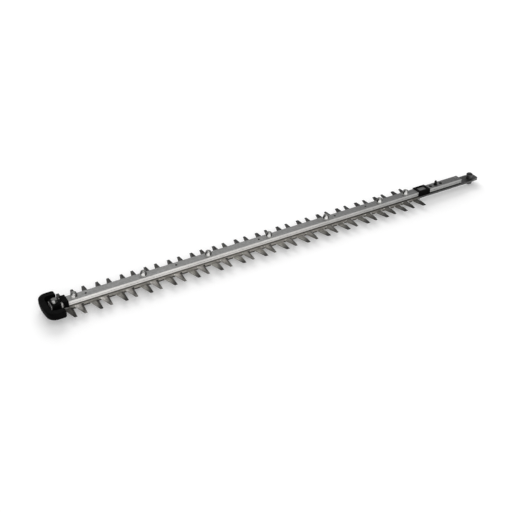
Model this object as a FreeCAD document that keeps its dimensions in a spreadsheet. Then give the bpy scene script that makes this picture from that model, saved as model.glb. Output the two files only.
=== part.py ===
import FreeCAD, Part
import os

import Sketcher

# Cutter bar of a double-sided hedge trimmer: two toothed blades that slide in
# opposite strokes under a guide bar, held by shouldered guide bolts.
# X runs along the bar towards the machine, Y across it and Z up.
# The origin is on the shank's top face, on the axis of the locating stud.

# Driving dimensions in millimetres; a reach is measured along X from the stud,
# and the front of the part is set out from the guide bolt stations
driving = {
    # Guide bar, an aluminium extrusion with a shallow groove in each side
    "bar_width": 13.2,
    "bar_height": 6.5,
    "bar_edge": 0.35,
    "bar_overhang": 32.6,
    "bar_rear_reach": 47.7,
    "groove_width": 1.4,
    "groove_depth": 0.5,
    "grease_hole": 3.2,
    "grease_inset": 15.7,
    "grease_spacing": 129.3,
    "grease_count": 4,
    "grease_last_gap": 25.8,
    # Shank, where the gear case is bolted on
    "case_hole": 5.5,
    "case_spacing": 20.0,
    "end_hole_inset": 6.7,
    "stud_diameter": 4.4,
    "stud_depth": 5.0,
    "stud_height": 7.2,
    "stud_taper": 2.4,
    "stud_point": 2.4,
    "stud_collar": 6.4,
    "stud_collar_thick": 0.8,
    # Guide bolt stations along the bar
    "station_spacing": 97.0,
    "station_count": 6,
    "station_last_gap": 49.5,
    "station_last_reach": 59.2,
    # Blades
    "blade_thick": 2.5,
    "run_gap": 0.15,
    "upper_reach": 29.0,
    "lower_reach": 29.9,
    "upper_spine_width": 19.6,
    "lower_spine_width": 18.0,
    "upper_tail_width": 19.2,
    "lower_tail_width": 11.4,
    "tail_front_reach": 37.0,
    "tail_margin": 13.0,
    "tail_point_length": 14.0,
    "tail_point_width": 10.0,
    "lower_nose": 22.0,
    "upper_nose": 23.5,
    "nose_radius": 7.0,
    # Teeth
    "tooth_lead": 9.4,
    "tooth_pitch": 35.0,
    "lower_teeth": 17,
    "upper_teeth": 16,
    "upper_phase": 15.1,
    "upper_stagger": 1.1,
    "lower_stagger": 4.0,
    "tooth_front_rake": 6.3,
    "tooth_back_rake": 1.5,
    "tip_land": 0.7,
    "bevel": 1.4,
    "tip_grind": 3.4,
    "tip_edge": 0.3,
    "root_radius": 4.0,
    "root_lap": 0.25,
    # Slots that the blades slide on
    "stroke": 17.5,
    "sleeve_diameter": 8.0,
    "slot_side_gap": 0.3,
    "slot_end_gap": 0.3,
    # Guide bolts, nuts and washers
    "bolt_diameter": 5.0,
    "bolt_gap": 0.2,
    "thread_gap": 0.02,
    "hex_flats": 8.0,
    "hex_chamfer": 0.5,
    "head_height": 3.5,
    "bolt_chamfer": 0.6,
    "bolt_end": 1.0,
    "blade_washer_diameter": 16.0,
    "blade_washer_thick": 1.2,
    "nut_washer_diameter": 10.0,
    "nut_washer_thick": 1.0,
    "nut_height": 3.6,
    "nut_collar_height": 1.6,
    "nut_collar_diameter": 7.4,
    "insert_diameter": 6.4,
    "insert_thick": 1.2,
    # Drive pins riveted into the blade tails
    "pin_bar_gap": 8.45,
    "pin_diameter": 10.2,
    "upper_pin_height": 8.0,
    "lower_pin_height": 4.8,
    "pin_round": 2.4,
    "spigot_diameter": 7.0,
    "spigot_recess": 0.05,
    "fit_gap": 0.02,
    # Tip guard, a moulded bumper with a socket over the bar's front end
    "guard_overhang": 11.8,
    "guard_length": 25.4,
    "guard_width": 53.0,
    "guard_bow": 3.0,
    "guard_bow_radius": 100.0,
    "guard_corner": 12.5,
    "guard_wing_round": 3.0,
    "guard_rise": 0.75,
    "guard_blade_gap": 0.45,
    "guard_edge": 2.0,
    "guard_rim": 9.0,
    "guard_pocket_corner": 6.0,
    "guard_nose_gap": 1.0,
    "bar_show": 0.8,
    "socket_wall": 1.6,
    "socket_roof": 1.3,
    "socket_gap": 0.1,
    "socket_length": 21.5,
    "collar_length": 7.0,
    "collar_step": 0.6,
    "collar_round": 1.1,
    "window_length": 2.6,
    "window_bridge": 6.0,
    "guard_bolt_inset": 6.3,
    "guard_bolt_lift": 0.8,
    "guard_bolt_diameter": 4.0,
    "guard_bolt_flats": 7.0,
    "guard_bolt_head": 2.8,
    "guard_washer_diameter": 8.0,
    "guard_washer_thick": 0.6,
    "spring_washer_diameter": 7.0,
    "spring_washer_thick": 0.9,
    "spring_washer_split": 0.7,
    # Clip snapped over the bar in front of the shank
    "clip_front_reach": 38.5,
    "clip_length": 21.5,
    "clip_wall": 1.6,
    "clip_roof": 1.2,
    "clip_gap": 0.1,
    "clip_lift": 0.25,
    "clip_window_length": 14.0,
    "clip_window_width": 9.5,
    "clip_round": 0.8,
    "snap_gap": 0.1,
}

doc = FreeCAD.newDocument("hedge_trimmer_blade")
sheet = doc.addObject("Spreadsheet::Sheet", "Sizes")
for row, (alias, value) in enumerate(driving.items(), start=1):
    sheet.set(f"A{row}", alias.replace("_", " "))
    sheet.set(f"B{row}", str(value))
    sheet.setAlias(f"B{row}", alias)
doc.recompute()

# Heights of the stack under the bar's top face, as expressions
barUnder = "-Sizes.bar_height"
upperTop = "-(Sizes.bar_height + Sizes.run_gap)"
upperShear = "-(Sizes.bar_height + Sizes.run_gap + Sizes.blade_thick)"
lowerShear = "-(Sizes.bar_height + 2 * Sizes.run_gap + Sizes.blade_thick)"
lowerUnder = "-(Sizes.bar_height + 2 * Sizes.run_gap + 2 * Sizes.blade_thick)"
washerSeat = "-(Sizes.bar_height + 3 * Sizes.run_gap + 2 * Sizes.blade_thick)"
headSeat = f"{washerSeat} - Sizes.blade_washer_thick"

# Places along X, as expressions
stationSixth = "(-Sizes.station_last_reach - Sizes.station_last_gap)"
stationFirst = f"({stationSixth} - (Sizes.station_count - 1) * Sizes.station_spacing)"
barFront = f"({stationFirst} - Sizes.bar_overhang)"
lowerFirst = f"({stationFirst} - Sizes.tooth_lead)"
upperFirst = f"({lowerFirst} + Sizes.upper_phase)"
guardFront = f"({barFront} - Sizes.guard_overhang)"
guardWing = f"({guardFront} + Sizes.guard_length)"
guardBolt = f"({barFront} + Sizes.guard_bolt_inset)"
pinPlace = ("(Sizes.bar_rear_reach + Sizes.stroke / 2"
            " + Sizes.pin_diameter / 2 + Sizes.pin_bar_gap)")
tailRear = f"({pinPlace} + Sizes.tail_margin)"

barHalf = "Sizes.bar_width / 2"
boltHole = "(Sizes.bolt_diameter + 2 * Sizes.bolt_gap)"
threadHole = "(Sizes.bolt_diameter + 2 * Sizes.thread_gap)"
guardHole = "(Sizes.guard_bolt_diameter + 2 * Sizes.bolt_gap)"
guardThread = "(Sizes.guard_bolt_diameter + 2 * Sizes.thread_gap)"

nodes = {}


def size(alias):
    return float(sheet.get(alias))


def stations():
    # Places of the guide bolts along X, as expressions
    places = []
    for index in range(int(size("station_count"))):
        places.append(f"{stationFirst} + {index} * Sizes.station_spacing")
    places.append("-Sizes.station_last_reach")
    return places


def greaseHoles():
    places = []
    for index in range(int(size("grease_count"))):
        places.append(f"{stationFirst} + Sizes.grease_inset + {index} * Sizes.grease_spacing")
    places.append(f"{stationSixth} - Sizes.grease_last_gap")
    return places


def newBody(label):
    body = doc.addObject("PartDesign::Body", label)
    body.Label = label
    return body


def originFeature(body, role):
    return next(feature for feature in body.Origin.OriginFeatures if feature.Role == role)


def newSketch(body, name, role, offset="0"):
    # A sketch on one of the body's own origin planes, moved along its normal
    sketch = body.newObject("Sketcher::SketchObject", name)
    sketch.AttachmentSupport = [(originFeature(body, role), "")]
    sketch.MapMode = "FlatFace"
    sketch.setExpression("AttachmentOffset.Base.z", offset)
    return sketch


def bind(sketch, constraint, expression):
    index = sketch.addConstraint(constraint)
    sketch.setExpression(f"Constraints[{index}]", expression)


def fixPoint(sketch, geometry, point, x, y):
    # Ties a point to its two coordinates; "0" puts it on the axis itself
    start = sketch.getPoint(geometry, point)
    for kind, axis, expression, value in (
        ("DistanceX", -2, x, start.x),
        ("DistanceY", -1, y, start.y),
    ):
        if expression == "0":
            sketch.addConstraint(Sketcher.Constraint("PointOnObject", geometry, point, axis))
        else:
            bind(sketch, Sketcher.Constraint(kind, -1, 1, geometry, point, value), expression)


def polygon(sketch, corners):
    # A closed outline through corners given as expressions; returns its first line
    count = len(corners)
    first = sketch.GeometryCount
    rough = Part.makeCircle(count).discretize(count + 1)
    for index in range(count):
        sketch.addGeometry(Part.LineSegment(rough[index], rough[index + 1]))
    for index in range(count):
        after = first + (index + 1) % count
        sketch.addConstraint(Sketcher.Constraint("Coincident", first + index, 2, after, 1))
    for index, (x, y) in enumerate(corners):
        fixPoint(sketch, first + index, 1, x, y)
    return first


def rectangle(sketch, x0, x1, y0, y1):
    return polygon(sketch, [(x0, y0), (x1, y0), (x1, y1), (x0, y1)])


def roundCorner(sketch, line, alias):
    # Rounds the corner at a line's start and ties the radius to the sheet
    sketch.fillet(line, 1, size(alias), True, True)
    arc = max(i for i, g in enumerate(sketch.Geometry) if g.TypeId == "Part::GeomArcOfCircle")
    bind(sketch, Sketcher.Constraint("Radius", arc, size(alias)), f"Sizes.{alias}")


def circle(sketch, x, y, diameter):
    centre = FreeCAD.Vector(1, 1, 0)
    index = sketch.addGeometry(Part.Circle(centre, FreeCAD.Vector(0, 0, 1), 1))
    fixPoint(sketch, index, 3, x, y)
    bind(sketch, Sketcher.Constraint("Diameter", index, 2), diameter)


def pad(body, name, sketch, length, reverse=False):
    feature = body.newObject("PartDesign::Pad", name)
    feature.Profile = sketch
    feature.setExpression("Length", length)
    feature.Reversed = reverse
    doc.recompute()
    return feature


def pocket(body, name, sketch, length=None):
    # Cuts below the sketch to a depth, or right through the body both ways
    before = body.Shape.Volume
    feature = body.newObject("PartDesign::Pocket", name)
    feature.Profile = sketch
    if length is None:
        feature.Type = "ThroughAll"
        feature.SideType = "Symmetric"
    else:
        feature.setExpression("Length", length)
    doc.recompute()
    if feature.Shape.Volume >= before:
        raise RuntimeError(f"{name} cuts nothing")
    return feature


def roundEdges(body, name, base, alias, wanted):
    # Rounds the edges of a feature that the given test picks
    picked = [f"Edge{i}" for i, edge in enumerate(base.Shape.Edges, start=1) if wanted(edge)]
    feature = body.newObject("PartDesign::Fillet", name)
    feature.Base = (base, picked)
    feature.setExpression("Radius", f"Sizes.{alias}")
    doc.recompute()
    return feature


def turned(label, section):
    # A solid of revolution about Z from its half section of (radius, height)
    body = newBody(label)
    sketch = newSketch(body, f"{label}_section", "XZ_Plane")
    polygon(sketch, section)
    turn = body.newObject("PartDesign::Revolution", f"{label}_turn")
    turn.Profile = sketch
    turn.ReferenceAxis = (sketch, ["V_Axis"])
    turn.Angle = 360
    doc.recompute()
    return body


def hexagonal(label, blank, flats, low, high):
    # Mills a turned blank to hexagon flats between two heights, two of them across the bar
    prism = doc.addObject("Part::Prism", f"{label}_flats")
    prism.Polygon = 6
    prism.Placement.Rotation = FreeCAD.Rotation(FreeCAD.Vector(0, 0, 1), 30)
    prism.setExpression("Circumradius", f"{flats} / sqrt(3)")
    prism.setExpression("Height", f"({high}) - ({low})")
    prism.setExpression("Placement.Base.z", low)
    milled = doc.addObject("Part::Common", label)
    milled.Base = blank
    milled.Tool = prism
    milled.Label = label
    doc.recompute()
    return milled


def atStations(label, master):
    # One node with a copy of the master at each guide bolt station
    group = doc.addObject("Part::Feature", label)
    group.Label = label
    copies = []
    for place in stations():
        copy = master.Shape.copy()
        copy.translate(FreeCAD.Vector(sheet.evalExpression(place), 0, 0))
        copies.append(copy)
    group.Shape = Part.makeCompound(copies)
    nodes[label] = group


def makeGuideBar():
    body = newBody("guide_bar")
    section = newSketch(body, "bar_section", "YZ_Plane", barFront)
    grooveTop = "-Sizes.bar_height / 2 + Sizes.groove_width / 2"
    grooveLow = "-Sizes.bar_height / 2 - Sizes.groove_width / 2"
    inner = f"{barHalf} - Sizes.groove_depth"
    shoulder = f"{barHalf} - Sizes.bar_edge"
    half = [
        (shoulder, "0"),
        (barHalf, "-Sizes.bar_edge"),
        (barHalf, grooveTop),
        (inner, grooveTop),
        (inner, grooveLow),
        (barHalf, grooveLow),
        (barHalf, f"{barUnder} + Sizes.bar_edge"),
        (shoulder, barUnder),
    ]
    polygon(section, half + [(f"-({y})", z) for y, z in reversed(half)])
    pad(body, "bar_extrusion", section, f"Sizes.bar_rear_reach - {barFront}")
    holes = newSketch(body, "bar_holes", "XY_Plane")
    for place in stations():
        circle(holes, place, "0", boltHole)
    for place in greaseHoles():
        circle(holes, place, "0", "Sizes.grease_hole")
    for side in ("-", ""):
        circle(holes, f"{side}Sizes.case_spacing / 2", "0", "Sizes.case_hole")
    circle(holes, "Sizes.bar_rear_reach - Sizes.end_hole_inset", "0", "Sizes.case_hole")
    circle(holes, guardBolt, "0", guardThread)
    pocket(body, "bar_drilling", holes)
    studHole = newSketch(body, "stud_hole", "XY_Plane")
    circle(studHole, "0", "0", "Sizes.stud_diameter + 2 * Sizes.fit_gap")
    pocket(body, "stud_drilling", studHole, "Sizes.stud_depth + Sizes.fit_gap")
    nodes["guide_bar"] = body


def toothOutline(sketch, tip, side, spine, reach):
    # One tooth leaning towards the machine, its foot sunk into the spine
    foot = f"{side}({spine} / 2 - Sizes.root_radius)"
    crown = f"{side}{reach}"
    half = "(Sizes.tip_land / 2 + Sizes.bevel)"
    sunk = f"(1 + Sizes.root_radius / ({reach} - {spine} / 2))"
    polygon(sketch, [
        (f"{tip} - {half} - Sizes.tooth_front_rake * {sunk}", foot),
        (f"{tip} - {half}", crown),
        (f"{tip} + {half}", crown),
        (f"{tip} + {half} + Sizes.tooth_back_rake * {sunk}", foot),
    ])


def rootOutline(sketch, tip, side, spine, reach):
    # The rounded root where the ground bevels of one tooth run out
    foot = f"{side}({spine} / 2 - Sizes.root_radius)"
    edge = f"{side}({spine} / 2 - Sizes.root_lap)"
    middle = f"{side}({spine} / 4 + {reach} / 2)"
    core = "(Sizes.tip_land / 2 - Sizes.root_lap)"
    front = f"{tip} - {core} - Sizes.tooth_front_rake"
    back = f"{tip} + {core} + Sizes.tooth_back_rake"
    first = polygon(sketch, [
        (f"{front} - Sizes.root_radius", foot),
        (f"{front} - Sizes.root_radius", edge),
        (front, edge),
        (f"{front} + Sizes.tooth_front_rake / 2", middle),
        (f"{back} - Sizes.tooth_back_rake / 2", middle),
        (back, edge),
        (f"{back} + Sizes.root_radius", edge),
        (f"{back} + Sizes.root_radius", foot),
    ])
    doc.recompute()
    roundCorner(sketch, first + 2, "root_radius")
    roundCorner(sketch, first + 5, "root_radius")


def makeBlade(label, kind, shear, face, firstTip, nearShift, farShift, downwards):
    # A toothed strip whose ground bevels leave the cutting edge at the shear face
    body = newBody(label)
    spineWidth = f"Sizes.{kind}_spine_width"
    reach = f"Sizes.{kind}_reach"
    half = f"{spineWidth} / 2"
    tail = f"Sizes.{kind}_tail_width / 2"
    point = "Sizes.tail_point_width / 2"
    front = f"{firstTip} - Sizes.{kind}_nose"
    taper = f"{tailRear} - Sizes.tail_point_length"
    spine = newSketch(body, f"{label}_spine", "XY_Plane", shear)
    first = polygon(spine, [
        (front, f"-{half}"),
        ("-Sizes.tail_front_reach", f"-{half}"),
        ("-Sizes.tail_front_reach", f"-{tail}"),
        (taper, f"-{tail}"),
        (tailRear, f"-{point}"),
        (tailRear, point),
        (taper, tail),
        ("-Sizes.tail_front_reach", tail),
        ("-Sizes.tail_front_reach", half),
        (front, half),
    ])
    doc.recompute()
    roundCorner(spine, first, "nose_radius")
    roundCorner(spine, first + 9, "nose_radius")
    pad(body, f"{label}_strip", spine, "Sizes.blade_thick", downwards)
    ground = []
    for row, shift, side in (("near", nearShift, "-"), ("far", farShift, "")):
        rounding = newSketch(body, f"{label}_{row}_root_outline", "XY_Plane", shear)
        rootOutline(rounding, f"{firstTip} - {shift}", side, spineWidth, reach)
        ground.append(pad(body, f"{label}_{row}_root", rounding, "Sizes.blade_thick", downwards))
        outline = newSketch(body, f"{label}_{row}_outline", "XY_Plane", shear)
        toothOutline(outline, f"{firstTip} - {shift}", side, spineWidth, reach)
        tooth = pad(body, f"{label}_{row}_tooth", outline, "Sizes.blade_thick", downwards)
        tooth.setExpression("TaperAngle", "-atan(Sizes.bevel / Sizes.blade_thick)")
        ground.append(tooth)
    doc.recompute()
    comb = body.newObject("PartDesign::LinearPattern", f"{label}_comb")
    comb.Originals = ground
    comb.Direction = (originFeature(body, "X_Axis"), [""])
    comb.Mode = "Spacing"
    comb.setExpression("Offset", "Sizes.tooth_pitch")
    comb.setExpression("Occurrences", f"Sizes.{kind}_teeth")
    body.Tip = comb
    doc.recompute()
    out = "-" if downwards else "+"
    slope = newSketch(body, f"{label}_tip_slopes", "YZ_Plane")
    for side in ("-", ""):
        polygon(slope, [
            (f"{side}({reach} - Sizes.tip_grind)", face),
            (f"{side}({reach} + Sizes.tip_grind)", face),
            (f"{side}({reach} + Sizes.tip_grind)", f"2 * ({shear} {out} Sizes.tip_edge) - ({face})"),
        ])
    pocket(body, f"{label}_tip_grinding", slope)
    travel = "(Sizes.stroke / 2 + Sizes.slot_end_gap)"
    slotWidth = "(Sizes.sleeve_diameter + 2 * Sizes.slot_side_gap)"
    slots = newSketch(body, f"{label}_slots", "XY_Plane", shear)
    slotEnds = newSketch(body, f"{label}_slot_ends", "XY_Plane", shear)
    for place in stations():
        rectangle(slots, f"{place} - {travel}", f"{place} + {travel}",
                  f"-{slotWidth} / 2", f"{slotWidth} / 2")
        circle(slotEnds, f"{place} - {travel}", "0", slotWidth)
        circle(slotEnds, f"{place} + {travel}", "0", slotWidth)
    circle(slotEnds, pinPlace, "0", "Sizes.spigot_diameter + 2 * Sizes.fit_gap")
    doc.recompute()
    pocket(body, f"{label}_slotting", slots)
    pocket(body, f"{label}_punching", slotEnds)
    nodes[label] = body


def makeBlades():
    makeBlade("upper_blade", "upper", upperShear, upperTop, upperFirst,
              "Sizes.upper_stagger", "0", False)
    makeBlade("lower_blade", "lower", lowerShear, lowerUnder, lowerFirst,
              "0", "Sizes.lower_stagger", True)


def ring(label, outer, hole, low, high):
    return turned(label, [
        (f"{hole} / 2", low),
        (f"{outer} / 2", low),
        (f"{outer} / 2", high),
        (f"{hole} / 2", high),
    ])


def hexBolt(label, seat, end, out, diameter, flats, height):
    # A bolt whose head stands on the "out" side of its seat
    back = "-" if out == "+" else "+"
    crown = f"{seat} {out} {height}"
    blank = turned(f"{label}_blank", [
        ("0", crown),
        (f"{flats} / 2", crown),
        (f"{flats} * 0.6", f"{crown} {back} Sizes.hex_chamfer"),
        (f"{flats} * 0.6", seat),
        (f"{diameter} / 2", seat),
        (f"{diameter} / 2", f"{end} {out} Sizes.bolt_chamfer"),
        (f"{diameter} / 2 - Sizes.bolt_chamfer", end),
        ("0", end),
    ])
    low, high = (end, crown) if out == "+" else (crown, end)
    return hexagonal(label, blank, flats, low, high)


def lockNut(label, seat):
    # A lock nut with a round collar that holds the nylon ring
    hexTop = f"{seat} + Sizes.nut_height"
    top = f"{hexTop} + Sizes.nut_collar_height"
    recess = "Sizes.insert_diameter / 2 + Sizes.fit_gap"
    shelf = f"{top} - Sizes.insert_thick - Sizes.fit_gap"
    collar = "Sizes.nut_collar_diameter / 2"
    blank = turned(f"{label}_blank", [
        (f"{threadHole} / 2", seat),
        ("Sizes.hex_flats / 2", seat),
        ("Sizes.hex_flats * 0.6", f"{seat} + Sizes.hex_chamfer"),
        ("Sizes.hex_flats * 0.6", f"{hexTop} - Sizes.hex_chamfer"),
        ("Sizes.hex_flats / 2", hexTop),
        (collar, hexTop),
        (collar, top),
        (recess, top),
        (recess, shelf),
        (f"{threadHole} / 2", shelf),
    ])
    return hexagonal(label, blank, "Sizes.hex_flats", seat, top)


def makeGuideFasteners():
    nutSeat = "Sizes.nut_washer_thick"
    nutTop = "Sizes.nut_washer_thick + Sizes.nut_height + Sizes.nut_collar_height"
    boltTop = f"{nutTop} + Sizes.bolt_end"
    sleeve = ring("sleeve", "Sizes.sleeve_diameter", boltHole, washerSeat, barUnder)
    under = ring("under_washer", "Sizes.blade_washer_diameter", boltHole, headSeat, washerSeat)
    over = ring("over_washer", "Sizes.nut_washer_diameter", boltHole, "0", nutSeat)
    insert = ring("nylon_ring", "Sizes.insert_diameter", threadHole,
                  f"{nutTop} - Sizes.insert_thick", nutTop)
    atStations("guide_sleeves", sleeve)
    atStations("blade_washers", under)
    bolt = hexBolt("guide_bolt", headSeat, boltTop, "-",
                   "Sizes.bolt_diameter", "Sizes.hex_flats", "Sizes.head_height")
    atStations("guide_bolts", bolt)
    atStations("nut_washers", over)
    atStations("lock_nuts", lockNut("lock_nut", nutSeat))
    atStations("lock_nut_rings", insert)


def makeTipGuard():
    body = newBody("tip_guard")
    low = f"({lowerShear} + Sizes.guard_blade_gap)"
    high = "Sizes.guard_rise"
    height = f"{high} - {low}"
    wing = guardWing
    front = guardFront
    shoulder = f"{front} + Sizes.guard_bow"
    half = "Sizes.guard_width / 2"
    inside = f"({half} - Sizes.guard_rim)"
    outline = newSketch(body, "guard_outline", "XY_Plane", low)
    first = polygon(outline, [
        (wing, f"-{half}"),
        (wing, half),
        (shoulder, half),
        (front, "0"),
        (shoulder, f"-{half}"),
    ])
    doc.recompute()
    for corner, alias in enumerate((
        "guard_wing_round",
        "guard_wing_round",
        "guard_corner",
        "guard_bow_radius",
        "guard_corner",
    )):
        roundCorner(outline, first + corner, alias)
    bumper = pad(body, "guard_bumper", outline, height)
    flat = 1e-6
    bumper = roundEdges(body, "guard_rounding", bumper, "guard_edge",
                        lambda edge: edge.BoundBox.ZLength < flat)
    pocketSketch = newSketch(body, "guard_pocket_outline", "XY_Plane", high)
    first = rectangle(pocketSketch, f"{front} + Sizes.guard_rim", f"{wing} + Sizes.guard_rim",
                      f"-{inside}", inside)
    doc.recompute()
    roundCorner(pocketSketch, first, "guard_pocket_corner")
    roundCorner(pocketSketch, first + 3, "guard_pocket_corner")
    pocket(body, "guard_pocket", pocketSketch, f"{high} + Sizes.bar_height")
    upperNose = f"{upperFirst} - Sizes.upper_nose - Sizes.stroke / 2"
    noseRoom = newSketch(body, "nose_room_outline", "XY_Plane", barUnder)
    noseSide = "(Sizes.upper_spine_width / 2 + Sizes.guard_nose_gap)"
    rectangle(noseRoom, f"{upperNose} - Sizes.guard_nose_gap", f"{wing} + Sizes.guard_rim",
              f"-{noseSide}", noseSide)
    pocket(body, "nose_room", noseRoom, height)
    socketFront = f"{barFront} + Sizes.bar_show"
    socketEnd = f"{socketFront} + Sizes.socket_length"
    slip = f"({barHalf} + Sizes.socket_gap)"
    wall = f"({slip} + Sizes.socket_wall)"
    saddle(body, "socket", socketFront, "Sizes.socket_length", slip, wall, "Sizes.socket_roof")
    saddle(body, "socket_collar", f"{socketEnd} - Sizes.collar_length", "Sizes.collar_length",
           slip, f"({wall} + Sizes.collar_step)", "Sizes.socket_roof + Sizes.collar_step")
    windowRear = f"{socketEnd} - Sizes.collar_length"
    windows = newSketch(body, "socket_window_outline", "XY_Plane",
                        "Sizes.socket_roof + Sizes.collar_step")
    for inner, outer in (
        ("Sizes.window_bridge / 2", f"{wall} + Sizes.collar_step"),
        ("-Sizes.window_bridge / 2", f"-{wall} - Sizes.collar_step"),
    ):
        rectangle(windows, f"{windowRear} - Sizes.window_length", windowRear, inner, outer)
    pocket(body, "socket_windows", windows, "Sizes.socket_roof + Sizes.collar_step + Sizes.bar_height")
    boltSketch = newSketch(body, "guard_bolt_hole", "XY_Plane", "Sizes.socket_roof")
    circle(boltSketch, guardBolt, "0", guardHole)
    drilled = pocket(body, "guard_bolt_drilling", boltSketch, "Sizes.socket_roof + Sizes.bar_height / 2")
    roof = size("socket_roof") - flat
    reach = sheet.evalExpression(wall) - flat
    roundEdges(body, "socket_rounding", drilled, "collar_round",
               lambda edge: edge.BoundBox.ZMin > roof and edge.BoundBox.YLength < flat
               and edge.BoundBox.ZLength < flat and abs(edge.CenterOfMass.y) > reach)
    nodes["tip_guard"] = body


def saddle(body, name, start, length, inner, outer, roof):
    # A channel that straddles the bar, open underneath
    section = newSketch(body, f"{name}_section", "YZ_Plane", start)
    polygon(section, [
        (outer, barUnder),
        (outer, roof),
        (f"-{outer}", roof),
        (f"-{outer}", barUnder),
        (f"-{inner}", barUnder),
        (f"-{inner}", "0"),
        (inner, "0"),
        (inner, barUnder),
    ])
    return pad(body, name, section, length)


def makeGuardFasteners():
    plainTop = "Sizes.socket_roof + Sizes.guard_washer_thick"
    springTop = f"{plainTop} + Sizes.spring_washer_thick"
    plain = ring("guard_washer", "Sizes.guard_washer_diameter", guardHole, "Sizes.socket_roof", plainTop)
    coil = ring("spring_ring", "Sizes.spring_washer_diameter", guardHole, plainTop, springTop)
    gap = doc.addObject("Part::Box", "spring_split")
    gap.setExpression("Length", "Sizes.spring_washer_diameter")
    gap.setExpression("Width", "Sizes.spring_washer_split")
    gap.setExpression("Height", "2 * Sizes.spring_washer_thick")
    gap.setExpression("Placement.Base.y", "-Sizes.spring_washer_split / 2")
    gap.setExpression("Placement.Base.z", plainTop)
    split = doc.addObject("Part::Cut", "guard_spring_washer")
    split.Base = coil
    split.Tool = gap
    bolt = hexBolt("guard_bolt", springTop, f"{barUnder} + Sizes.guard_bolt_lift", "+",
                   "Sizes.guard_bolt_diameter", "Sizes.guard_bolt_flats", "Sizes.guard_bolt_head")
    for label, piece in (
        ("guard_washer", plain),
        ("guard_spring_washer", split),
        ("guard_bolt", bolt),
    ):
        piece.Label = label
        piece.setExpression("Placement.Base.x", guardBolt)
        nodes[label] = piece


def makeBarClip():
    body = newBody("bar_clip")
    section = newSketch(body, "clip_section", "YZ_Plane", "-Sizes.clip_front_reach")
    inner = f"({barHalf} + Sizes.clip_gap)"
    outer = f"({inner} + Sizes.clip_wall)"
    snap = f"({barHalf} - Sizes.groove_depth + Sizes.snap_gap)"
    foot = "-Sizes.bar_height + Sizes.clip_lift"
    ridgeTop = "-Sizes.bar_height / 2 + Sizes.groove_width / 2 - Sizes.snap_gap"
    ridgeLow = "-Sizes.bar_height / 2 - Sizes.groove_width / 2 + Sizes.snap_gap"
    polygon(section, [
        (outer, foot),
        (outer, "Sizes.clip_roof"),
        (f"-{outer}", "Sizes.clip_roof"),
        (f"-{outer}", foot),
        (f"-{inner}", foot),
        (f"-{inner}", ridgeLow),
        (f"-{snap}", ridgeLow),
        (f"-{snap}", ridgeTop),
        (f"-{inner}", ridgeTop),
        (f"-{inner}", "0"),
        (inner, "0"),
        (inner, ridgeTop),
        (snap, ridgeTop),
        (snap, ridgeLow),
        (inner, ridgeLow),
        (inner, foot),
    ])
    channel = pad(body, "clip_channel", section, "Sizes.clip_length")
    roof = size("clip_roof")
    channel = roundEdges(body, "clip_rounding", channel, "clip_round",
                         lambda edge: edge.BoundBox.ZMin > roof / 2 and edge.BoundBox.XLength > roof)
    window = newSketch(body, "clip_window_outline", "XY_Plane", "Sizes.clip_roof")
    middle = "-Sizes.clip_front_reach + Sizes.clip_length / 2"
    rectangle(window, f"{middle} - Sizes.clip_window_length / 2",
              f"{middle} + Sizes.clip_window_length / 2",
              "-Sizes.clip_window_width / 2", "Sizes.clip_window_width / 2")
    pocket(body, "clip_window", window, "2 * Sizes.clip_roof")
    nodes["bar_clip"] = body


def makeStud():
    radius = "Sizes.stud_diameter / 2"
    nodes["locating_stud"] = turned("locating_stud", [
        ("0", "-Sizes.stud_depth"),
        (radius, "-Sizes.stud_depth"),
        (radius, "0"),
        ("Sizes.stud_collar / 2", "0"),
        ("Sizes.stud_collar / 2", "Sizes.stud_collar_thick"),
        (radius, "Sizes.stud_collar_thick"),
        (radius, "Sizes.stud_height - Sizes.stud_taper"),
        ("Sizes.stud_point / 2", "Sizes.stud_height"),
        ("0", "Sizes.stud_height"),
    ])


def makeDrivePin(label, root, face, height, out):
    # A shouldered pin seated on a blade's face, its spigot through the blade
    crown = f"{face} {out} {height}"
    pin = turned(label, [
        ("0", f"{root} {out} Sizes.spigot_recess"),
        ("Sizes.spigot_diameter / 2", f"{root} {out} Sizes.spigot_recess"),
        ("Sizes.spigot_diameter / 2", face),
        ("Sizes.pin_diameter / 2", face),
        ("Sizes.pin_diameter / 2", crown),
        ("0", crown),
    ])
    level = sheet.evalExpression(crown)
    roundEdges(pin, f"{label}_crown", pin.Tip, "pin_round",
               lambda edge: abs(edge.BoundBox.ZMin - level) + abs(edge.BoundBox.ZMax - level) < 1e-6)
    pin.setExpression("Placement.Base.x", pinPlace)
    nodes[label] = pin


makeGuideBar()
makeBlades()
makeGuideFasteners()
makeTipGuard()
makeGuardFasteners()
makeBarClip()
makeStud()
makeDrivePin("upper_drive_pin", upperShear, upperTop, "Sizes.upper_pin_height", "+")
makeDrivePin("lower_drive_pin", lowerShear, lowerUnder, "Sizes.lower_pin_height", "-")
doc.recompute()

failed = [item.Name for item in doc.Objects if {"Invalid", "Error"} & set(item.State)]
if failed:
    raise RuntimeError(f"failed to build: {failed}")
for label, piece in nodes.items():
    if piece.Shape.isNull() or not piece.Shape.isValid():
        raise RuntimeError(f"{label} has no valid shape")

os.makedirs("parts", exist_ok=True)
for label, piece in nodes.items():
    piece.Shape.exportStep(f"parts/{label}.step")
    print(label, len(piece.Shape.Solids), round(piece.Shape.Volume, 2), piece.Shape.BoundBox)
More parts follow.
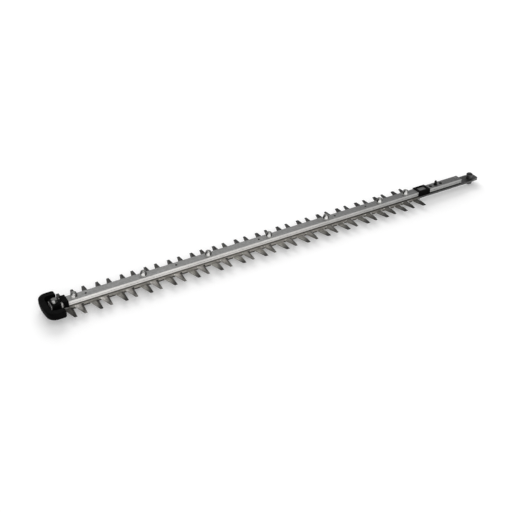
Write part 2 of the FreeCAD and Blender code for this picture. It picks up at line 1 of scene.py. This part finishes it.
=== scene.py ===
import bpy
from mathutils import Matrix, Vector


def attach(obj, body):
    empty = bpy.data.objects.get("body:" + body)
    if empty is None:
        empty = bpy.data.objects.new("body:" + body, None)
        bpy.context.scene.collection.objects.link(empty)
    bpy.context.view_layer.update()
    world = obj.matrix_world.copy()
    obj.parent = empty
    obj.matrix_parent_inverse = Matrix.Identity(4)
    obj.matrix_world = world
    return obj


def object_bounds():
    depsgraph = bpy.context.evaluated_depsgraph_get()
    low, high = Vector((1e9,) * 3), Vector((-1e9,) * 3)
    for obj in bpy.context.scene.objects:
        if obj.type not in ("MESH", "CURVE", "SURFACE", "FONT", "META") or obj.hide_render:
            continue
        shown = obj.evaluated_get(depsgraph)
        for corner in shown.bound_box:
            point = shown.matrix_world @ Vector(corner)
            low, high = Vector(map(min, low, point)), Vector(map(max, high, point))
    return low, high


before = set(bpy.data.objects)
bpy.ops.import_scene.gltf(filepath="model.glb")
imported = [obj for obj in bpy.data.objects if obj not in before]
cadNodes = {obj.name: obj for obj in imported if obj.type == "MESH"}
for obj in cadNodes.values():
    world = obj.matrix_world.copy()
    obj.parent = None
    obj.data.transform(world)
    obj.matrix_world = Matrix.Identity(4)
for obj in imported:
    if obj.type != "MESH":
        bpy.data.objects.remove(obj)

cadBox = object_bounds()
mm = 0.001
print("frame loaded:", len(cadNodes), "nodes")


def hexToLinear(code):
    values = [int(code[i:i + 2], 16) / 255 for i in (1, 3, 5)]
    return [v / 12.92 if v <= 0.04045 else ((v + 0.055) / 1.055) ** 2.4 for v in values] + [1.0]


def metres(sizesMm):
    return [v * mm for v in sizesMm]


def plug(tree, socket, value):
    # gives a socket a plain value, a hex colour, another node's output or a node's first live output
    if isinstance(value, str):
        value = hexToLinear(value)
    if isinstance(value, bpy.types.Node):
        value = next(output for output in value.outputs if output.enabled)
    if isinstance(value, bpy.types.NodeSocket):
        tree.links.new(value, socket)
    else:
        socket.default_value = value


def addNode(tree, kind, inputs=(), **settings):
    # one node with its settings and links; inputs are a list in order, or go by name or number
    node = tree.nodes.new(kind)
    for name, value in settings.items():
        setattr(node, name, value)
    pairs = inputs.items() if isinstance(inputs, dict) else enumerate(inputs)
    for key, value in pairs:
        plug(tree, node.inputs[key], value)
    return node


grainNoise = {
    "roughness": 0.6,
    "span": (0.3, 0.7),         # most of a noise lies between these
    "relief": 0.5,
}


class Surface:
    # a new material with the coordinates and the grains that its finish is drawn with
    def __init__(self, name, grains):
        self.material = bpy.data.materials.new(name)
        self.material.use_nodes = True
        self.tree = self.material.node_tree
        self.shader = self.tree.nodes["Principled BSDF"]
        place = addNode(self.tree, "ShaderNodeTexCoord").outputs
        self.where = addNode(self.tree, "ShaderNodeSeparateXYZ", [place["Object"]]).outputs
        self.facing = addNode(self.tree, "ShaderNodeSeparateXYZ", [place["Normal"]]).outputs
        self.grains = {}
        # a grain has its size along X, Y and Z in mm, and its detail
        for grain, (*sizesMm, detail) in grains.items():
            scaled = addNode(self.tree, "ShaderNodeMapping", {
                "Vector": place["Object"], "Scale": [1 / v for v in metres(sizesMm)]})
            self.grains[grain] = addNode(self.tree, "ShaderNodeTexNoise", {
                "Vector": scaled, "Scale": 1.0, "Detail": detail, "Roughness": grainNoise["roughness"]})

    def colourRows(self, along, rowsHex):
        # each row has three colours: at the tip end, the middle and the drive end
        rows = {}
        for zone, codes in rowsHex.items():
            rows[zone] = addNode(self.tree, "ShaderNodeValToRGB", [along])
            stops = rows[zone].color_ramp.elements
            stops.new(0.5)
            for stop, code in zip(stops, codes):
                stop.color = hexToLinear(code)
        return rows

    def paint(self, colour, layers):
        # lays each layer's colour over what is there, as far as its share says
        for share, layer in layers:
            colour = addNode(self.tree, "ShaderNodeMix", {0: share, 6: colour, 7: layer},
                             data_type="RGBA")
        return colour

    def shade(self, colour, grain, levels):
        # levels are the grain's low and high value, and how bright the colour is at each
        level = addNode(self.tree, "ShaderNodeMapRange", [grain, *levels])
        return addNode(self.tree, "ShaderNodeMix", {0: 1.0, 6: colour, 7: level},
                       data_type="RGBA", blend_type="MULTIPLY")

    def finish(self, colour, grain, s):
        # roughness and relief follow the grain, the other sockets are the same all over
        rough = addNode(self.tree, "ShaderNodeMapRange", [grain, *grainNoise["span"], *s["roughness"]])
        bump = addNode(self.tree, "ShaderNodeBump", {
            "Height": grain, "Distance": s["bumpMm"] * mm, "Strength": grainNoise["relief"]})
        sockets = {"Base Color": colour, "Roughness": rough, "Normal": bump, **s["shader"]}
        for socket, value in sockets.items():
            plug(self.tree, self.shader.inputs[socket], value)
        return self.material


barFinish = {
    "reachMm": (-600, 47),      # from the tip guard to the shank
    # painted light: the side lit bright, the broken edge and the top shaded darker, each row fading
    # darker towards the shank
    "rowsHex": {
        "side": ["#e6e4e1", "#d4d2cf", "#9fa09f"],
        "edge": ["#aaa9a7", "#acaba9", "#959595"],
        "top": ["#848483", "#7b7b7a", "#494949"],
    },
    # how far up a face has to look for its colour to start, and to be full
    "topFacing": (0.85, 0.98),
    "edgeFacing": (0.3, 0.6),
    # painted shade, with grime, at the foot of the sides
    "footHex": "#6a6963",
    "footMm": (-6.0, -6.3),     # painted shade, with grime, where the side meets the greased blade
    # painted shade inside the bores, with old oil
    "boreHex": "#161614",
    "boreMm": (3.4, 3.2),       # the bores lie nearer to the middle than this
    "boreReach": (0.99, 0.98),  # share of the reach, leaves the bar's end face clear
    "grains": {
        "lines": (90, 0.7, 0.7, 4.0),   # die lines are nearer 0.1 mm, drawn coarser so that they show
        "stains": (60, 9, 9, 3.0),
        "spots": (4, 4, 4, 4.0),
    },
    "lineLevels": (0.3, 0.7, 0.92, 1.05),
    "stainLevels": (0.35, 0.7, 1.06, 0.86),
    "spotLevels": (0.35, 0.65, 0.84, 1.14),
    "spotShare": (0.3, 1.0),    # on the sides, and on top
    "roughness": (0.5, 0.62),
    "bumpMm": 0.03,
    "shader": {"Metallic": 0.2},
}


def extrudedAluminium():
    # mill-finish extrusion: die lines along the bar, spotted by handling, most on top; painted light:
    # sides lit bright, the top and broken edges shaded darker, all fading darker towards the shank;
    # painted shade with grime at the foot, and with old oil in the bores
    s = barFinish
    surface = Surface("aluminium_extruded_mill_finish", s["grains"])
    tree = surface.tree
    along = addNode(tree, "ShaderNodeMapRange", [surface.where["X"], *metres(s["reachMm"])])
    rows = surface.colourRows(along, s["rowsHex"])
    isTop = addNode(tree, "ShaderNodeMapRange", [surface.facing["Z"], *s["topFacing"]])
    isEdge = addNode(tree, "ShaderNodeMapRange", [surface.facing["Z"], *s["edgeFacing"]])
    atFoot = addNode(tree, "ShaderNodeMapRange", [surface.where["Z"], *metres(s["footMm"])])
    offAxis = addNode(tree, "ShaderNodeMath", [surface.where["Y"]], operation="ABSOLUTE")
    nearAxis = addNode(tree, "ShaderNodeMapRange", [offAxis, *metres(s["boreMm"])])
    offEnd = addNode(tree, "ShaderNodeMapRange", [along, *s["boreReach"]])
    inBore = addNode(tree, "ShaderNodeMath", [nearAxis, offEnd], operation="MULTIPLY")
    spotShare = addNode(tree, "ShaderNodeMapRange", [isTop, 0.0, 1.0, *s["spotShare"]])
    body = surface.paint(rows["side"], [
        (atFoot, s["footHex"]), (inBore, s["boreHex"]), (isEdge, rows["edge"]), (isTop, rows["top"])])
    body = surface.shade(body, surface.grains["stains"], s["stainLevels"])
    spotted = surface.shade(body, surface.grains["spots"], s["spotLevels"])
    body = surface.paint(body, [(spotShare, spotted)])
    body = surface.shade(body, surface.grains["lines"], s["lineLevels"])
    return surface.finish(body, surface.grains["lines"], s)


upperBladeFinish = {
    "reachMm": (-610, -35),     # from the first tooth to the toothless tail
    # the flat, tip, front, bevel and spine rows darken towards the drive end: painted light falling off
    # along the blade, and painted shade by the bar clip
    "rowsHex": {
        "flat": ["#a6a39f", "#9e9b95", "#504e4b"],      # rolled scale
        "tip": ["#6c6a66", "#6a6864", "#222120"],       # tooth ends
        "front": ["#d4d1cd", "#9c9993", "#504e4b"],     # front halves of the teeth, lighter
        "wall": ["#8e8c86", "#a4a09b", "#898681"],      # cut edge of the strip between the teeth
        "bevel": ["#efece8", "#8e8b85", "#57554f"],     # ground, with a painted glint that is brightest at the tip end
        "root": ["#fbfaf7", "#d6d4ce", "#e6e4df"],      # painted highlight on the edges towards the tip end
        "spine": ["#6c6a65", "#74716b", "#45433e"],     # oiled, with painted shade beside the bar
        "back": ["#2b2927", "#2b2927", "#ffffff"],      # painted shade on the edges towards the drive end, a painted highlight on them by the tail
    },
    "backShadeShare": (0.9, 0.8),   # painted shade on the back edges: at the tip end, and past the middle
    "spineMm": 9.8,             # from the middle to the edge of the spine
    "firstBackMm": (-587.4, -588.5),    # back edge of the first near tooth, at its root and its end
}
lowerBladeFinish = {
    "reachMm": (-627, -35),
    # the same rows as on the upper blade, with the same painted light, highlights and shade
    "rowsHex": {
        "flat": ["#9c9a95", "#b2b0a9", "#5e5c58"],
        "tip": ["#343331", "#3a3835", "#222120"],
        "front": ["#8e8c88", "#b2b0a9", "#5e5c58"],
        "wall": ["#403e3b", "#45433f", "#4c4a44"],
        "bevel": ["#8e8c87", "#807d77", "#57554f"],
        "root": ["#cbc9c3", "#c8c5bf", "#dedcd7"],
        "spine": ["#6c6a66", "#6a6762", "#403f3b"],
        "back": ["#2b2927", "#94918c", "#ffffff"],
    },
    "backShadeShare": (0.9, 0.35),
    "spineMm": 9.0,
    "firstBackMm": (-601.35, -601.35),
}
bladeSteel = {
    # painted shade on the far row of teeth
    "rowsHex": {"far": ["#282726", "#181716", "#040404"]},
    "heatHex": "#8a8078",
    # painted shade: on the back edges of the teeth, and on the first tooth by the tip guard
    "paintedShadeHex": "#292725",
    "tailHex": "#2a2a2a",
    "tailWallHex": "#585858",
    "pitchMm": 35,
    # along the pitch, from a tooth's back edge: where a band starts, is full, starts to fade, ends
    "bandsMm": {
        "front": (-17.0, -14.0, -7.0, -4.5),
        "back": (-3.0, -1.2, 4.5, 6.5),
        "edge": (-0.9, -0.3, 3.0, 4.0),
    },
    "backShadeReach": (0.2, 0.5),   # the painted shade on the back edges fades between these shares of the reach
    "tailReach": (0.985, 1.0),
    "toothMm": (12, 25),        # root and end of a tooth, off the middle
    "tipMm": (11, 25.5),        # the tooth ends darken between these distances from the middle
    "rootMm": (18, 14),         # the line on a tooth's back edge runs from the root to here
    "farMm": (11, 16),          # painted shade on the far row, full towards its tooth ends
    "farShare": 0.9,
    "offSpineMm": (0.0, 1.0),   # past the edge of the spine
    "onSpineMm": (-0.3, -0.9),
    "guardMm": (-606, -597),    # painted shade of the tip guard, with sap and grime, darkens the first tooth next to it
    "guardShare": 0.65,
    "flatFacing": (0.85, 0.96),     # up or down
    "bevelFacing": (0.15, 0.4),
    "tipFacing": (-0.1, -0.5),      # along the bar
    "driveFacing": (0.08, 0.4),
    "grains": {
        "scale": (60, 2.2, 2.2, 5.0),
        "marks": (8, 0.6, 8, 2.0),      # a wheel leaves 0.1 mm marks, drawn coarser so that they show
        "mottle": (4.5, 4.5, 4.5, 4.0),
        "heat": (26, 26, 26, 2.0),
    },
    "heatLevels": (0.5, 0.75, 0.0, 0.3),
    "mottleLevels": (0.35, 0.65, 0.8, 1.18),
    "grainLevels": (0.3, 0.7, 0.88, 1.1),
    "roughness": (0.42, 0.58),
    "bumpMm": 0.02,
    "shader": {"Metallic": 0.7},
}


def groundBladeSteel(name, s):
    # rolled and hardened carbon steel: mottled scale on the flats, lighter towards the spine, with
    # painted light that fades from the tip end to the drive end; front bevels ground, with a painted
    # glint, painted highlights on the roots, tooth ends darker; painted shade on the back edges, the far
    # row and by the tip guard; the spine dark with oil and painted shade
    g = bladeSteel
    surface = Surface(name, g["grains"])
    tree = surface.tree
    along = addNode(tree, "ShaderNodeMapRange", [surface.where["X"], *metres(s["reachMm"])])
    rows = surface.colourRows(along, {**s["rowsHex"], **g["rowsHex"]})
    offAxis = addNode(tree, "ShaderNodeMath", [surface.where["Y"]], operation="ABSOLUTE")
    upright = addNode(tree, "ShaderNodeMath", [surface.facing["Z"]], operation="ABSOLUTE")
    # how far a point lies behind the back edge of its tooth
    firstBack = addNode(tree, "ShaderNodeMapRange", [
        offAxis, *metres(g["toothMm"]), *metres(s["firstBackMm"])])
    step = addNode(tree, "ShaderNodeMath", [surface.where["X"], firstBack], operation="SUBTRACT")
    half = 0.5 * g["pitchMm"] * mm
    behind = addNode(tree, "ShaderNodeMath", [step, -half, half], operation="WRAP")
    offSpine = addNode(tree, "ShaderNodeMapRange", [
        offAxis, *metres(s["spineMm"] + v for v in g["offSpineMm"])])
    onSpine = addNode(tree, "ShaderNodeMapRange", [
        offAxis, *metres(s["spineMm"] + v for v in g["onSpineMm"])])
    bands = {}
    for zone, sizesMm in g["bandsMm"].items():
        starts, full, fades, ends = metres(sizesMm)
        rise = addNode(tree, "ShaderNodeMapRange", [behind, starts, full])
        fall = addNode(tree, "ShaderNodeMapRange", [behind, fades, ends, 1.0, 0.0])
        band = addNode(tree, "ShaderNodeMath", [rise, fall], operation="MULTIPLY")
        bands[zone] = addNode(tree, "ShaderNodeMath", [band, offSpine], operation="MULTIPLY")
    # painted shade along the back edges of the teeth, strongest at the tip end
    backShading = addNode(tree, "ShaderNodeMapRange", [along, *g["backShadeReach"], *s["backShadeShare"]])
    backShade = addNode(tree, "ShaderNodeMath", [bands["back"], backShading], operation="MULTIPLY")
    byRoot = addNode(tree, "ShaderNodeMapRange", [offAxis, *metres(g["rootMm"])])
    backEdge = addNode(tree, "ShaderNodeMath", [bands["edge"], byRoot], operation="MULTIPLY")
    heated = addNode(tree, "ShaderNodeMapRange", [surface.grains["heat"], *g["heatLevels"]])
    toTip = addNode(tree, "ShaderNodeMapRange", [offAxis, *metres(g["tipMm"])])
    onTail = addNode(tree, "ShaderNodeMapRange", [along, *g["tailReach"]])
    # the flats: dark tooth ends, lighter front halves, painted shade and highlight on the back edges,
    # oiled spine with painted shade, plain tail
    flat = surface.paint(rows["flat"], [
        (heated, g["heatHex"]), (toTip, rows["tip"]), (bands["front"], rows["front"]),
        (backShade, g["paintedShadeHex"]), (backEdge, rows["back"]), (onSpine, rows["spine"]),
        (onTail, g["tailHex"])])
    # what stands up: walls along the spine, painted highlight on the roots, ground bevels with a painted
    # glint, painted shade on the faces towards the drive end
    isBevel = addNode(tree, "ShaderNodeMapRange", [upright, *g["bevelFacing"]])
    facesTip = addNode(tree, "ShaderNodeMapRange", [surface.facing["X"], *g["tipFacing"]])
    facesDrive = addNode(tree, "ShaderNodeMapRange", [surface.facing["X"], *g["driveFacing"]])
    bevel = surface.paint(rows["bevel"], [(toTip, rows["tip"])])
    ground = surface.paint(rows["wall"], [
        (facesTip, rows["root"]), (isBevel, bevel), (facesDrive, rows["back"]),
        (onTail, g["tailWallHex"])])
    # both together, then the painted shade by the tip guard and on the far row over them
    isFlat = addNode(tree, "ShaderNodeMapRange", [upright, *g["flatFacing"]])
    # painted shade of the tip guard on the first tooth, with grime
    byGuard = addNode(tree, "ShaderNodeMapRange", [
        surface.where["X"], *metres(g["guardMm"]), g["guardShare"], 0.0])
    isFar = addNode(tree, "ShaderNodeMapRange", [
        surface.where["Y"], *metres(g["farMm"]), 0.0, g["farShare"]])
    body = surface.paint(ground, [(isFlat, flat), (byGuard, g["paintedShadeHex"]), (isFar, rows["far"])])
    body = surface.shade(body, surface.grains["mottle"], g["mottleLevels"])
    grain = addNode(tree, "ShaderNodeMix", {
        0: isFlat, 2: surface.grains["marks"], 3: surface.grains["scale"]})
    body = surface.shade(body, grain, g["grainLevels"])
    return surface.finish(body, grain, g)


zincFinish = {
    "plateHex": {"bright": ("#7c7c79", "#5c5c5a"), "weathered": ("#5e5e5c", "#464644")},
    # painted highlight on the flats alongside the bar, painted shade on those towards the ends
    "wearAndHighlightHex": "#f6f5f3",
    "nutShadeHex": "#333331",
    "washerHex": "#c4c4c1",
    "washerMm": (1.15, 0.85),   # the washers on the bar end at about 1 mm
    "sideFacing": (0.6, 0.8),       # across the bar
    "highlightFacing": (0.2, -0.1),    # along it, as the next two
    "driveFacing": (0.2, 0.45),
    "driveShade": 0.8,
    "tipFacing": (-0.75, -0.9),
    "grains": {
        "plating": (0.8, 0.8, 0.8, 2.0),    # plating grain is finer, drawn coarser so that it shows
        "cloud": (3.5, 3.5, 3.5, 3.0),
    },
    "cloudLevels": (0.42, 0.7),
    "roughness": (0.26, 0.42),
    "bumpMm": 0.015,
    "shader": {"Metallic": 0.5},
}


def zincPlatedSteel(kind):
    # zinc plate: cloudy on top, a painted highlight on the flats alongside the bar, painted shade on
    # those towards the tip end and the drive end
    s = zincFinish
    surface = Surface("steel_zinc_plated_" + kind, s["grains"])
    tree = surface.tree
    clearHex, dullHex = s["plateHex"][kind]
    cloudy = addNode(tree, "ShaderNodeMapRange", [surface.grains["cloud"], *s["cloudLevels"]])
    # painted highlight on the flats alongside the bar, painted shade on those facing the tip end and the
    # drive end
    sideways = addNode(tree, "ShaderNodeMath", [surface.facing["Y"]], operation="ABSOLUTE")
    facesSide = addNode(tree, "ShaderNodeMapRange", [sideways, *s["sideFacing"]])
    offDrive = addNode(tree, "ShaderNodeMapRange", [surface.facing["X"], *s["highlightFacing"]])
    wearAndHighlight = addNode(tree, "ShaderNodeMath", [facesSide, offDrive], operation="MULTIPLY")
    facesDrive = addNode(tree, "ShaderNodeMapRange", [
        surface.facing["X"], *s["driveFacing"], 0.0, s["driveShade"]])
    facesTip = addNode(tree, "ShaderNodeMapRange", [surface.facing["X"], *s["tipFacing"]])
    isWasher = addNode(tree, "ShaderNodeMapRange", [surface.where["Z"], *metres(s["washerMm"])])
    colour = surface.paint(clearHex, [
        (cloudy, dullHex), (wearAndHighlight, s["wearAndHighlightHex"]), (facesDrive, s["nutShadeHex"]),
        (facesTip, s["nutShadeHex"]), (isWasher, s["washerHex"])])
    return surface.finish(colour, surface.grains["plating"], s)


mouldFinish = {
    "blackHex": "#050505",
    "wearAndHighlightHex": "#121212",
    "grains": {
        "spark": (0.7, 0.7, 0.7, 2.0),  # spark texture is nearer 0.2 mm, drawn coarser so that it shows
        "flow": (14, 14, 14, 4.0),
    },
    "rubbedLevels": (0.5, 0.8, 0.0, 0.6),
    "roughness": (0.6, 0.75),
    "bumpMm": 0.05,
    "shader": {"IOR": 1.53, "Specular IOR Level": 0.03},
}


def mouldedNylon():
    # black glass-filled nylon: a spark-eroded mould leaves a fine even grain, rubbed a little grey
    s = mouldFinish
    surface = Surface("nylon_glass_filled_moulded_black", s["grains"])
    wearAndHighlight = addNode(surface.tree, "ShaderNodeMapRange", [surface.grains["flow"], *s["rubbedLevels"]])
    colour = surface.paint(s["blackHex"], [(wearAndHighlight, s["wearAndHighlightHex"])])
    return surface.finish(colour, surface.grains["spark"], s)


turnedFinish = {
    "kindHex": {                # on the end, and on the side
        "bearing_steel_turned_bright": ("#8f8d88", "#7a7873"),
        "steel_turned_oil_blackened": ("#2b2b2b", "#5a5a5a"),
        "steel_turned_black_oxide": ("#1f1f1e", "#2b2b2a"),
    },
    "endFacing": (0.15, 0.6),   # up
    "grains": {
        "rings": (25, 25, 0.5, 2.0),    # lathe feed is nearer 0.1 mm, drawn coarser so that it shows
        "patches": (4, 4, 4, 3.0),
    },
    "patchLevels": (0.35, 0.7, 0.8, 1.25),
    "roughness": (0.34, 0.5),
    "bumpMm": 0.015,
    "shader": {"Metallic": 1.0},
}


def turnedSteel(name):
    # lathe-turned steel: fine rings round the axis, blackened pins and stud rubbed lighter on the side
    s = turnedFinish
    surface = Surface(name, s["grains"])
    endHex, sideHex = s["kindHex"][name]
    isEnd = addNode(surface.tree, "ShaderNodeMapRange", [surface.facing["Z"], *s["endFacing"]])
    colour = surface.paint(sideHex, [(isEnd, endHex)])
    colour = surface.shade(colour, surface.grains["patches"], s["patchLevels"])
    return surface.finish(colour, surface.grains["rings"], s)


ringFinish = {
    "nylonHex": "#2b2b2e",
    "cloudHex": "#3c3c40",
    "grains": {"cloud": (1.6, 1.6, 1.6, 2.0)},
    "roughness": (0.4, 0.5),
    "bumpMm": 0.02,
    "shader": {"IOR": 1.53},
}


def lockingNylon():
    # dark nylon ring of a lock nut: waxy, with a faint cloud
    s = ringFinish
    surface = Surface("nylon_dark_moulded", s["grains"])
    colour = surface.paint(s["nylonHex"], [(surface.grains["cloud"], s["cloudHex"])])
    return surface.finish(colour, surface.grains["cloud"], s)


zincPlate = zincPlatedSteel("bright")
finishes = {
    extrudedAluminium(): ["guide_bar"],
    groundBladeSteel("carbon_steel_ground_upper", upperBladeFinish): ["upper_blade"],
    groundBladeSteel("carbon_steel_ground_lower", lowerBladeFinish): ["lower_blade"],
    zincPlate: ["guide_bolts", "blade_washers", "nut_washers", "lock_nuts"],
    zincPlatedSteel("weathered"): ["guard_bolt", "guard_washer", "guard_spring_washer"],
    turnedSteel("bearing_steel_turned_bright"): ["guide_sleeves"],
    turnedSteel("steel_turned_oil_blackened"): ["upper_drive_pin", "lower_drive_pin"],
    turnedSteel("steel_turned_black_oxide"): ["locating_stud"],
    mouldedNylon(): ["tip_guard", "bar_clip"],
    lockingNylon(): ["lock_nut_rings"],
}
for material, names in finishes.items():
    for name in names:
        mesh = cadNodes[name].data
        mesh.materials.clear()
        mesh.materials.append(material)
print("finishes:", len(finishes))


boltThread = {
    "stations": 6,              # guide bolts at even steps, and one more by the shank
    "firstMm": -593.7,
    "stepMm": 97.0,
    "lastMm": -59.2,
    "lowMm": 6.35,              # just above the lock nut
    "pitchMm": 0.8,
    "turns": 0.8,
    "segments": 32,             # in each turn
    "radiusMm": 2.38,
    "ridgeMm": 0.26,
    "ridgeSides": 4,
}


def threadTree():
    # one thread ridge wound round each bolt end that stands out of its lock nut
    tree = bpy.data.node_groups.new("boltThread", "GeometryNodeTree")
    tree.is_modifier = True
    tree.interface.new_socket("Geometry", in_out="OUTPUT", socket_type="NodeSocketGeometry")
    kinds = {
        "NodeSocketInt": ["Stations", "Segments", "Ridge Sides"],
        "NodeSocketFloat": ["First", "Step", "Last", "Low", "Pitch", "Turns", "Radius", "Ridge"],
        "NodeSocketMaterial": ["Finish"],
    }
    for kind, names in kinds.items():
        for name in names:
            tree.interface.new_socket(name, in_out="INPUT", socket_type=kind)
    given = addNode(tree, "NodeGroupInput").outputs
    rise = addNode(tree, "ShaderNodeMath", [given["Pitch"], given["Turns"]], operation="MULTIPLY")
    helix = addNode(tree, "GeometryNodeCurveSpiral", {
        "Resolution": given["Segments"], "Rotations": given["Turns"], "Start Radius": given["Radius"],
        "End Radius": given["Radius"], "Height": rise})
    ridge = addNode(tree, "GeometryNodeCurvePrimitiveCircle", {
        "Resolution": given["Ridge Sides"], "Radius": given["Ridge"]})
    wound = addNode(tree, "GeometryNodeCurveToMesh", {
        "Curve": helix, "Profile Curve": ridge, "Fill Caps": True})
    lift = addNode(tree, "ShaderNodeCombineXYZ", {"Z": given["Low"]})
    raised = addNode(tree, "GeometryNodeTransform", {"Geometry": wound, "Translation": lift})
    start = addNode(tree, "ShaderNodeCombineXYZ", {"X": given["First"]})
    step = addNode(tree, "ShaderNodeCombineXYZ", {"X": given["Step"]})
    end = addNode(tree, "ShaderNodeCombineXYZ", {"X": given["Last"]})
    row = addNode(tree, "GeometryNodeMeshLine", {
        "Count": given["Stations"], "Start Location": start, "Offset": step})
    lone = addNode(tree, "GeometryNodeMeshLine", {"Count": 1, "Start Location": end})
    places = addNode(tree, "GeometryNodeJoinGeometry", [row])
    plug(tree, places.inputs[0], lone)
    copies = addNode(tree, "GeometryNodeInstanceOnPoints", {"Points": places, "Instance": raised})
    real = addNode(tree, "GeometryNodeRealizeInstances", {"Geometry": copies})
    plated = addNode(tree, "GeometryNodeSetMaterial", {"Geometry": real, "Material": given["Finish"]})
    addNode(tree, "NodeGroupOutput", {"Geometry": plated})
    return tree


def makeBoltThreads():
    s = boltThread
    piece = bpy.data.objects.new("bolt_threads", bpy.data.meshes.new("bolt_threads"))
    bpy.context.scene.collection.objects.link(piece)
    modifier = piece.modifiers.new("boltThread", "NODES")
    tree = threadTree()
    modifier.node_group = tree
    values = {
        "Stations": s["stations"], "Segments": s["segments"], "Ridge Sides": s["ridgeSides"],
        "First": s["firstMm"] * mm, "Step": s["stepMm"] * mm, "Last": s["lastMm"] * mm,
        "Low": s["lowMm"] * mm, "Pitch": s["pitchMm"] * mm, "Turns": s["turns"],
        "Radius": s["radiusMm"] * mm, "Ridge": s["ridgeMm"] * mm, "Finish": zincPlate,
    }
    for socket in tree.interface.items_tree:
        if socket.in_out == "INPUT":
            modifier[socket.identifier] = values[socket.name]
    evaluated = piece.evaluated_get(bpy.context.evaluated_depsgraph_get())
    piece.data = bpy.data.meshes.new_from_object(evaluated)
    piece.modifiers.remove(modifier)
    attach(piece, "bar")
    print("bolt threads:", len(piece.data.polygons), "faces")


makeBoltThreads()


studio = {
    "floorHex": "#f2f2f2",
    "floorRoughness": 0.9,
    "floorSizeM": 12,
    "floorGlow": 0.14,
    "whiteHex": "#ffffff",
    "skyStrength": 0.55,
    "lamps": [
        # name, place, aimed at, size, watts
        ("backSoftbox", (0.3, 2.2, 1.05), (-0.3, 0.0, 0.0), 2.0, 60),
        ("frontFill", (-1.0, -2.0, 0.7), (-0.3, 0.0, 0.0), 1.6, 30),
    ],
}


def seenDirectly(tree):
    # 1 for what the camera, a reflection or a transmission sees, 0 for light bounced off matt surfaces
    path = addNode(tree, "ShaderNodeLightPath").outputs
    seen = path["Is Camera Ray"]
    for ray in ("Is Glossy Ray", "Is Transmission Ray"):
        seen = addNode(tree, "ShaderNodeMath", [seen, path[ray]], operation="MAXIMUM")
    return seen


def makeFloor():
    # matt white paper, lifted a little towards white where it is seen
    s = studio
    half = s["floorSizeM"] / 2
    low = cadBox[0].z
    mesh = bpy.data.meshes.new("floor")
    mesh.from_pydata([(-half, -half, low), (half, -half, low), (half, half, low), (-half, half, low)],
                     [], [(0, 1, 2, 3)])
    floor = bpy.data.objects.new("floor", mesh)
    bpy.context.scene.collection.objects.link(floor)
    material = bpy.data.materials.new("paper_matt_white")
    material.use_nodes = True
    tree = material.node_tree
    glow = addNode(tree, "ShaderNodeMath", [seenDirectly(tree), s["floorGlow"]], operation="MULTIPLY")
    sockets = {"Base Color": s["floorHex"], "Roughness": s["floorRoughness"],
               "Emission Color": s["whiteHex"], "Emission Strength": glow}
    for socket, value in sockets.items():
        plug(tree, tree.nodes["Principled BSDF"].inputs[socket], value)
    mesh.materials.append(material)


def standAndAim(holder, place, target):
    # stands a lamp or the camera at its place and turns it to its target
    holder.location = place
    holder.rotation_euler = (Vector(target) - Vector(place)).to_track_quat("-Z", "Y").to_euler()
    bpy.context.scene.collection.objects.link(holder)


def makeLight():
    s = studio
    world = bpy.data.worlds.new("studio")
    bpy.context.scene.world = world
    world.use_nodes = True
    tree = world.node_tree
    tree.nodes.clear()
    level = addNode(tree, "ShaderNodeMapRange", [seenDirectly(tree), 0.0, 1.0, s["skyStrength"], 1.0])
    sky = addNode(tree, "ShaderNodeBackground", {"Color": s["whiteHex"], "Strength": level})
    addNode(tree, "ShaderNodeOutputWorld", {"Surface": sky})
    for name, place, target, size, watts in s["lamps"]:
        lamp = bpy.data.lights.new(name, "AREA")
        lamp.size = size
        lamp.energy = watts
        holder = bpy.data.objects.new(name, lamp)
        holder.visible_glossy = False   # the lamps' shapes would show as hot patches on the flat metal
        standAndAim(holder, place, target)


photoView = {
    "place": (-0.8485, -0.9078, 0.6663),
    "target": (-0.3374, -0.0230, -0.0092),
    "lensMm": 61.89,
    "sensorMm": 36,
    "nearestM": 0.01,
}


def makeCamera():
    s = photoView
    camera = bpy.data.cameras.new("photoView")
    camera.lens = s["lensMm"]
    camera.sensor_width = s["sensorMm"]
    camera.clip_start = s["nearestM"]
    holder = bpy.data.objects.new("photoView", camera)
    standAndAim(holder, s["place"], s["target"])
    bpy.context.scene.camera = holder


makeFloor()
makeLight()
makeCamera()
bpy.context.scene.view_settings.view_transform = "Standard"
print("studio set")
